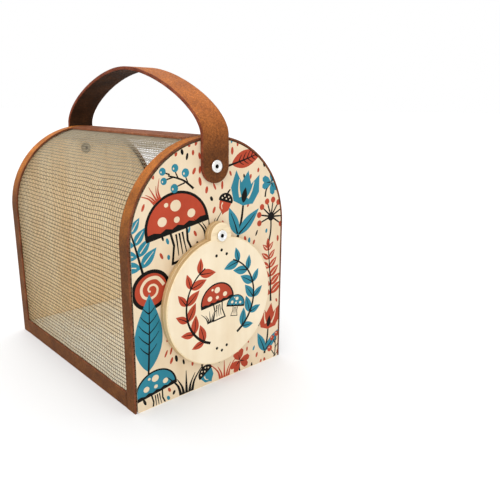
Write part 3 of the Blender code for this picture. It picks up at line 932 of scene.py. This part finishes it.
def print_sheet(name, outline, holes, shapes, face_y, outward, inks, body):
    """A thin printed face: one flat mesh split along the outlines of the motifs, a material for each ink.

    Outlines are in millimetres. The face looks along Y, the way that outward says.
    """
    colours = list(inks)
    points, polygons = [], []
    for polygon in [outline, *holes, *[shape for _, shape in shapes]]:
        start = len(points)
        points += [Vector(point) for point in polygon]
        polygons.append(list(range(start, len(points))))
    edges_in = [(a, b) for loop in polygons for a, b in zip(loop, loop[1:] + loop[:1])]
    found, _, triangles, _, _, _ = geometry.delaunay_2d_cdt(points, edges_in, [], 0, 1e-4, True)
    covers = [(colour, shape, bounds_of(shape)) for colour, shape in reversed(shapes)]
    back_y = face_y - outward * INK_T
    bm = bmesh.new()
    front = [bm.verts.new((p.x * MM, face_y, p.y * MM)) for p in found]
    back = [bm.verts.new((p.x * MM, back_y, p.y * MM)) for p in found]
    kept = []
    for corners in triangles:
        middle = sum((found[c] for c in corners), Vector((0, 0))) / 3
        if not inside(middle, outline) or any(inside(middle, hole) for hole in holes):
            continue
        colour = "cream"
        for shape_colour, shape, (x_low, x_high, y_low, y_high) in covers:
            if x_low < middle.x < x_high and y_low < middle.y < y_high and inside(middle, shape):
                colour = shape_colour
                break
        kept.append((corners, colours.index(colour)))
    edges = {}
    for corners, index in kept:
        loop = list(corners)
        for a, b in zip(loop, loop[1:] + loop[:1]):
            edges[(a, b)] = index
        turn = loop if outward < 0 else loop[::-1]
        face = bm.faces.new([front[c] for c in turn])
        face.material_index = index
        bm.faces.new([back[c] for c in reversed(turn)])
    for (a, b), index in edges.items():
        if (b, a) not in edges:
            bm.faces.new((front[a], front[b], back[b], back[a]))
    bmesh.ops.delete(bm, geom=[v for v in bm.verts if not v.link_faces], context="VERTS")
    bmesh.ops.recalc_face_normals(bm, faces=bm.faces)
    return add_piece(name, bm, [inks[c] for c in colours], body, smooth_deg=20)


def door_motifs():
    """Two leafy sprigs that curve along the rim, a red one and a blue one, round a pair of toadstools."""
    shapes = []
    for colour, first, last, way in (("red", 118, 250, 1), ("blue", -62, 70, -1)):
        for k in range(SPRIG_LEAVES):
            degrees = first + (last - first) * (k + 0.5) / SPRIG_LEAVES
            x, y = arc(SPRIG_R, SPRIG_R, 0, [degrees])[0]
            ahead = degrees if way > 0 else degrees + 180
            for side, reach in ((way, 12.5), (-way, 10.0)):
                leaf = [(colour, leaf_outline(reach, reach * 0.46)),
                        black_line([(0, 0), (0.2, reach * 0.4), (0, reach * 0.8)], 0.8, 0.25)]
                shapes += moved(leaf, x, y, 1, ahead + 180 - side * 44)
        stem = arc(SPRIG_R, SPRIG_R, 0, range(first, last + 1, 12))
        shapes.append(black_line(stem[::-way], 1.8, 0.9))
    shapes += moved(mushroom("red", 24), -2, -11, 1, 6)
    shapes += moved(mushroom("blue", 14), 10, -12, 1, -12)
    shapes += moved(grass("black", 8), -9, -12, 1, 6)
    for x, y in ((0, 33), (-4, 30), (4, 30), (0, -33), (-4, -30.5), (4, -30.5)):
        shapes.append(("black", ellipse(x, y, 1.0, 1.0, 0, 14)))
    return shapes


def printed_faces(inks):
    hole_r = SHANK_HOLE_R / MM
    handle_hole = ellipse(0, HANDLE_RIVET_Z / MM, hole_r, hole_r)
    pin_hole = ellipse(0, DOOR_RIVET_Z / MM, hole_r, hole_r)
    door_hole = ellipse(0, DOOR_Z / MM, HOLE_R / MM, HOLE_R / MM, 0, 96)
    outline = arch_outline((PANEL_R + PRINT_OVER) / MM, PRINT_FOOT / MM, SPRING_Z / MM)
    half_width, height = (PANEL_R - FILL_MARGIN) / MM, ARCH_TOP / MM
    front = laid_out(FRONT_LAYOUT)
    front = scattered(front, half_width, height, FRONT_SEED) + front
    holes = [handle_hole, pin_hole, door_hole]
    print_sheet("front_panel_print", outline, holes, front, FRONT_Y - INK_T, -1, inks, "box")
    back = laid_out(BACK_LAYOUT)
    back = scattered(back, half_width, height, BACK_SEED) + back
    face_y = INK_T - FRONT_Y
    print_sheet("back_panel_print", outline, [handle_hole], back, face_y, 1, inks, "box")


def door_outline(inset, steps=110, ear_steps=26):
    """The disc with its ear, drawn in by an inset, in metres."""
    disc_r, ear_r = DOOR_R - inset, EAR_R - inset
    ear_side = math.degrees(math.acos(ear_r / disc_r))
    first, sweep = 180 - ear_side, 180 + 2 * ear_side
    disc = arc(disc_r, disc_r, DOOR_Z, [first + sweep * k / steps for k in range(steps + 1)])
    return disc + arc(ear_r, ear_r, DOOR_RIVET_Z, [180 * k / ear_steps for k in range(ear_steps + 1)])


def door_board(name, node, round_front, round_back, materials):
    """One board of the door, its rim sanded round: the first material on its faces, the second on the rim."""
    low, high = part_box(node)
    turns = [math.pi / 2 * k / ROUND_STEPS for k in range(ROUND_STEPS + 1)]
    rings = []
    for y, way, radius, order in ((low.y, 1, round_front, turns), (high.y, -1, round_back, turns[::-1])):
        for turn in order:
            inset, reach = radius * (1 - math.sin(turn)), radius * (1 - math.cos(turn))
            rings.append([(x, y + way * reach, z) for x, z in door_outline(inset)])
    bm = bmesh.new()
    for face in skin(bm, rings):
        face.material_index = 1 if abs(face.normal.y) < RIM_SLOPE else 0
    piece = add_piece(name, bm, materials, "door", (node,))
    cut_holes(piece, [(DOOR_RIVET_Z, SHANK_HOLE_R, low.y - CUT_MARGIN, high.y + CUT_MARGIN)])


def door(inks, wood, core, rim):
    door_board("door_face_board", "door_front_board", FACE_ROUND, SEAM_ROUND, [wood, rim])
    door_board("door_rear_board", "door_back_board", SEAM_ROUND, REAR_ROUND, [core, rim])
    print_r, clear_r = (DOOR_R - DOOR_PRINT_INSET) / MM, RIVET_CLEAR_R / MM
    disc = ellipse(0, DOOR_Z / MM, print_r, print_r, 0, 120)
    ear_clear = ellipse(0, DOOR_RIVET_Z / MM, clear_r, clear_r, 0, 40)
    shapes = moved(door_motifs(), 0, DOOR_Z / MM)
    face_y = DOOR_LOW.y - INK_T * DOOR_INK_PROUD
    print_sheet("door_print", disc, [ear_clear], shapes, face_y, -1, inks, "door")


# Rivets and washers

def turned(bm, profile, kinds, z, seat_y, outward, steps=72):
    """Turn a section of (radius, height over the seat) about the rivet's axis."""
    rings = []
    for turn in whole_turn(steps):
        c, s = math.cos(turn), math.sin(turn)
        rings.append([(r * c, seat_y + outward * reach, z + r * s) for r, reach in profile])
    skin(bm, rings, closed=True, material_of=kinds)


def rivet_profile(head_r, tail):
    """Once round the section, with the place of each material: head and shank 0, bore 1 painted dark as
    painted shade in the hole, flared end 2 painted dull as painted shade on the tail.
    """
    bore = [(BORE_R, -tail)]
    dish = DISH_SHARE * (head_r - BORE_R)
    head = []
    for k in range(DISH_STEPS + 1):
        turn = math.pi / 2 * k / DISH_STEPS
        rise = DISH_LOW + (DISH_HIGH - DISH_LOW) * (1 - math.cos(turn))
        head.append((BORE_R + dish * math.sin(turn), HEAD_T * rise))
    half_roll = (head_r - BORE_R - dish) / 2
    for k in range(1, ROLL_STEPS + 1):
        turn = math.pi * (1 - k / ROLL_STEPS)
        foot = DISH_HIGH if turn > math.pi / 2 else ROLL_FOOT
        rise = foot + (1 - foot) * math.sin(turn)
        head.append((head_r - half_roll + half_roll * math.cos(turn), HEAD_T * rise))
    shank = [(head_r - HEAD_FOOT_INSET, 0.0), (SHANK_R, 0.0)]
    flare = [(SHANK_R, FLARE_T - tail)]
    flare += [(FLARE_R * wide, FLARE_T * high - tail) for wide, high in FLARE_SHAPE]
    kinds = [1] * len(bore) + [0] * (len(head) + len(shank)) + [2] * len(flare)
    return bore + head + shank + flare, kinds


def rivets(materials):
    """Tubular rivets: the head outside, and the flared end on a washer inside."""
    for node, z in (("front_handle_rivet", HANDLE_RIVET_Z), ("back_handle_rivet", HANDLE_RIVET_Z),
                    ("door_rivet", DOOR_RIVET_Z)):
        low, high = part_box(node)
        outward = 1 if node.startswith("back") else -1
        seat_y = high.y - HEAD_T if outward > 0 else low.y + HEAD_T
        profile, kinds = rivet_profile((high.x - low.x) / 2, high.y - low.y - HEAD_T)
        bm = bmesh.new()
        turned(bm, profile, kinds, z, seat_y, outward)
        add_piece(node + "_polished", bm, materials, "box", (node,), smooth_deg=50)


# Stage, light and camera

def view_rays(tree):
    """1 for the camera's rays and for those that metal or glass sends on, 0 for the light itself."""
    paths = tree.nodes.new("ShaderNodeLightPath")
    seen = paths.outputs["Is Camera Ray"]
    for name in ("Is Glossy Ray", "Is Transmission Ray"):
        seen = add_math(tree, "MAXIMUM", seen, paths.outputs[name])
    return seen


def stage():
    """A white floor: it keeps the object's shadow, and is lifted to white for the camera alone."""
    bm = bmesh.new()
    bmesh.ops.create_circle(bm, cap_ends=True, segments=64, radius=FLOOR_R)
    floor = add_object("floor", mesh_of("floor", bm))
    material, tree, shader = new_material("floor_white", 0.9)
    shader.inputs["Base Color"].default_value = (FLOOR_TONE, FLOOR_TONE, FLOOR_TONE, 1)
    shader.inputs["Specular IOR Level"].default_value = 0.0
    shader.inputs["Emission Color"].default_value = WHITE
    lift = add_math(tree, "MULTIPLY", view_rays(tree), FLOOR_LIFT)
    tree.links.new(lift, shader.inputs["Emission Strength"])
    floor.data.materials.append(material)


def add_sun(name, heading, height, power, spread):
    """A soft lamp from far off: heading as for the camera, 0 from the front, and height over the floor."""
    lamp = bpy.data.lights.new(name, "SUN")
    lamp.energy = power
    lamp.angle = math.radians(spread)
    turn, lift = math.radians(heading), math.radians(height)
    way = Vector((math.sin(turn) * math.cos(lift), -math.cos(turn) * math.cos(lift), math.sin(lift)))
    obj = add_object(name, lamp)
    obj.location = way * 2
    obj.rotation_mode = "QUATERNION"
    obj.rotation_quaternion = (-way).to_track_quat("-Z", "Y")


def lights():
    """A soft world that the camera sees as white, a key lamp from the front and a top lamp from behind."""
    world = bpy.data.worlds.new("studio")
    world.use_nodes = True
    tree = world.node_tree
    soft = tree.nodes["Background"]
    soft.inputs["Color"].default_value = WHITE
    soft.inputs["Strength"].default_value = WORLD_LEVEL
    white = tree.nodes.new("ShaderNodeBackground")
    white.inputs["Color"].default_value = WHITE
    white.inputs["Strength"].default_value = 1.0
    mix = tree.nodes.new("ShaderNodeMixShader")
    tree.links.new(view_rays(tree), mix.inputs[0])
    tree.links.new(soft.outputs[0], mix.inputs[1])
    tree.links.new(white.outputs[0], mix.inputs[2])
    tree.links.new(mix.outputs[0], tree.nodes["World Output"].inputs["Surface"])
    bpy.context.scene.world = world
    add_sun("key", KEY_HEADING, KEY_HEIGHT, KEY_LEVEL, KEY_SPREAD)
    add_sun("top", TOP_HEADING, TOP_HEIGHT, TOP_LEVEL, TOP_SPREAD)


def camera():
    data = bpy.data.cameras.new("camera")
    data.lens = CAMERA_LENS
    data.sensor_width = 36
    data.clip_start = 0.01
    data.clip_end = 50
    obj = add_object("camera", data)
    turn = (Matrix.Rotation(math.radians(-CAMERA_HEADING), 4, "Z")
            @ Matrix.Rotation(math.radians(90 - CAMERA_PITCH), 4, "X")
            @ Matrix.Rotation(math.radians(CAMERA_ROLL), 4, "Z"))
    obj.matrix_world = Matrix.Translation(CAMERA_PLACE) @ turn
    bpy.context.scene.camera = obj


def give(material, *nodes):
    """CAD nodes that the scene shows as they are take this material."""
    for node in nodes:
        mesh = NODES[node].data
        mesh.materials.clear()
        mesh.materials.append(material)
        mesh.shade_smooth()
        mesh.set_sharp_from_angle(angle=math.radians(NODE_SMOOTH_DEG))


def leathers():
    """Outer face, edge and back of the trims, of the ridge strip and of the strap."""
    # Painted top light: the arch of the trims and the upper part of the strap are tinted lighter towards the
    # top.
    arch_painted_light = (SPRING_Z + 4 * MM, SPRING_Z + 40 * MM, (3.5, 3.4, 2.9, 1))
    strap_painted_light = (HANDLE_RIVET_Z + 7 * MM, ARCH_TOP + 16 * MM, (3.1, 3.0, 2.9, 1))
    trim = [leather("trim_outer", srgb(82, 46, 17), srgb(100, 58, 23), srgb(118, 72, 31), painted_top_light=arch_painted_light),
            leather("trim_edge", srgb(92, 52, 30), srgb(116, 66, 40), srgb(146, 90, 58)),
            leather("trim_back", srgb(84, 46, 22), srgb(104, 60, 30), srgb(124, 74, 38))]
    ridge = [leather("ridge_outer", srgb(124, 72, 46), srgb(150, 92, 62), srgb(174, 116, 84)),
             leather("ridge_edge", srgb(58, 30, 18), srgb(76, 42, 26), srgb(98, 58, 36)),
             trim[INNER]]
    strip = [leather("strap_outer", srgb(92, 51, 22), srgb(103, 59, 26), srgb(115, 68, 31), painted_top_light=strap_painted_light),
             leather("strap_edge", srgb(88, 40, 24), srgb(124, 62, 38), srgb(168, 96, 62)),
             leather("strap_inside", srgb(44, 27, 14), srgb(62, 39, 20), srgb(82, 52, 28), 0.85)]
    return trim, ridge, strip


def leather_pieces():
    trim, ridge, strip = leathers()
    edge_trims(trim)
    base_trims(trim)
    ridge_trim(ridge)
    strap(strip)


def bare_pieces(washer_steel_and_tail_shade):
    """The boards, washers and staples that keep their CAD shape."""
    panel_wood = plywood("panel_plywood", srgb(255, 237, 202), srgb(246, 218, 174), (1, 1, 0.1))
    floor_wood = plywood("floor_plywood", srgb(255, 250, 232), srgb(250, 236, 206), (1, 0.1, 1))
    give(panel_wood, "front_panel", "back_panel")
    give(floor_wood, "floor_board")
    give(washer_steel_and_tail_shade, "front_handle_washer", "back_handle_washer", "door_washer")
    give(fibre("fibre_washer", srgb(92, 78, 62), srgb(128, 110, 90)), "door_spacer")
    give(metal("staple_wire", srgb(190, 190, 186), 0.35), *[node for node in NODES if "staple" in node])


def wire_pieces():
    wires = [wire_material("long_wire", srgb(52, 37, 14), srgb(76, 56, 24), srgb(112, 90, 48)),
             wire_material("hoop_wire", srgb(88, 70, 38), srgb(118, 96, 60), srgb(154, 132, 92))]
    wire_mesh("right_wires", "right_mesh", 1, wires)
    wire_mesh("left_wires", "left_mesh", -1, wires)


def printed_pieces():
    inks = {"cream": ink("print_cream", CREAM, True), "red": ink("print_red", RED),
            "blue": ink("print_blue", BLUE), "black": ink("print_black", BLACK)}
    printed_faces(inks)
    door_inks = {**inks, "cream": ink("door_cream", DOOR_CREAM, True)}
    wood = plywood("door_plywood", srgb(246, 228, 194), srgb(232, 208, 166), (0.12, 1, 1))
    core = plywood("door_core_plywood", srgb(240, 218, 178), srgb(220, 190, 144), (0.12, 1, 1))
    rim = plywood("door_rim_plywood", srgb(214, 186, 138), srgb(184, 150, 102), (0.3, 4, 0.3))
    door(door_inks, wood, core, rim)


def main():
    bpy.context.scene.view_settings.view_transform = "Standard"
    nickel = metal("nickel_plate", srgb(238, 238, 236), 0.22)
    # Painted shade: the dark metal in the rivets' bores, and the dull washer steel on their flared ends; the
    # washers keep that steel as their own colour.
    painted_bore_shade = metal("rivet_bore", srgb(58, 52, 44), 0.6)
    washer_steel_and_tail_shade = metal("washer_steel_and_tail_shade", srgb(176, 168, 148), 0.5)
    bare_pieces(washer_steel_and_tail_shade)
    leather_pieces()
    wire_pieces()
    printed_pieces()
    rivets([nickel, painted_bore_shade, washer_steel_and_tail_shade])
    stage()
    lights()
    camera()


main()
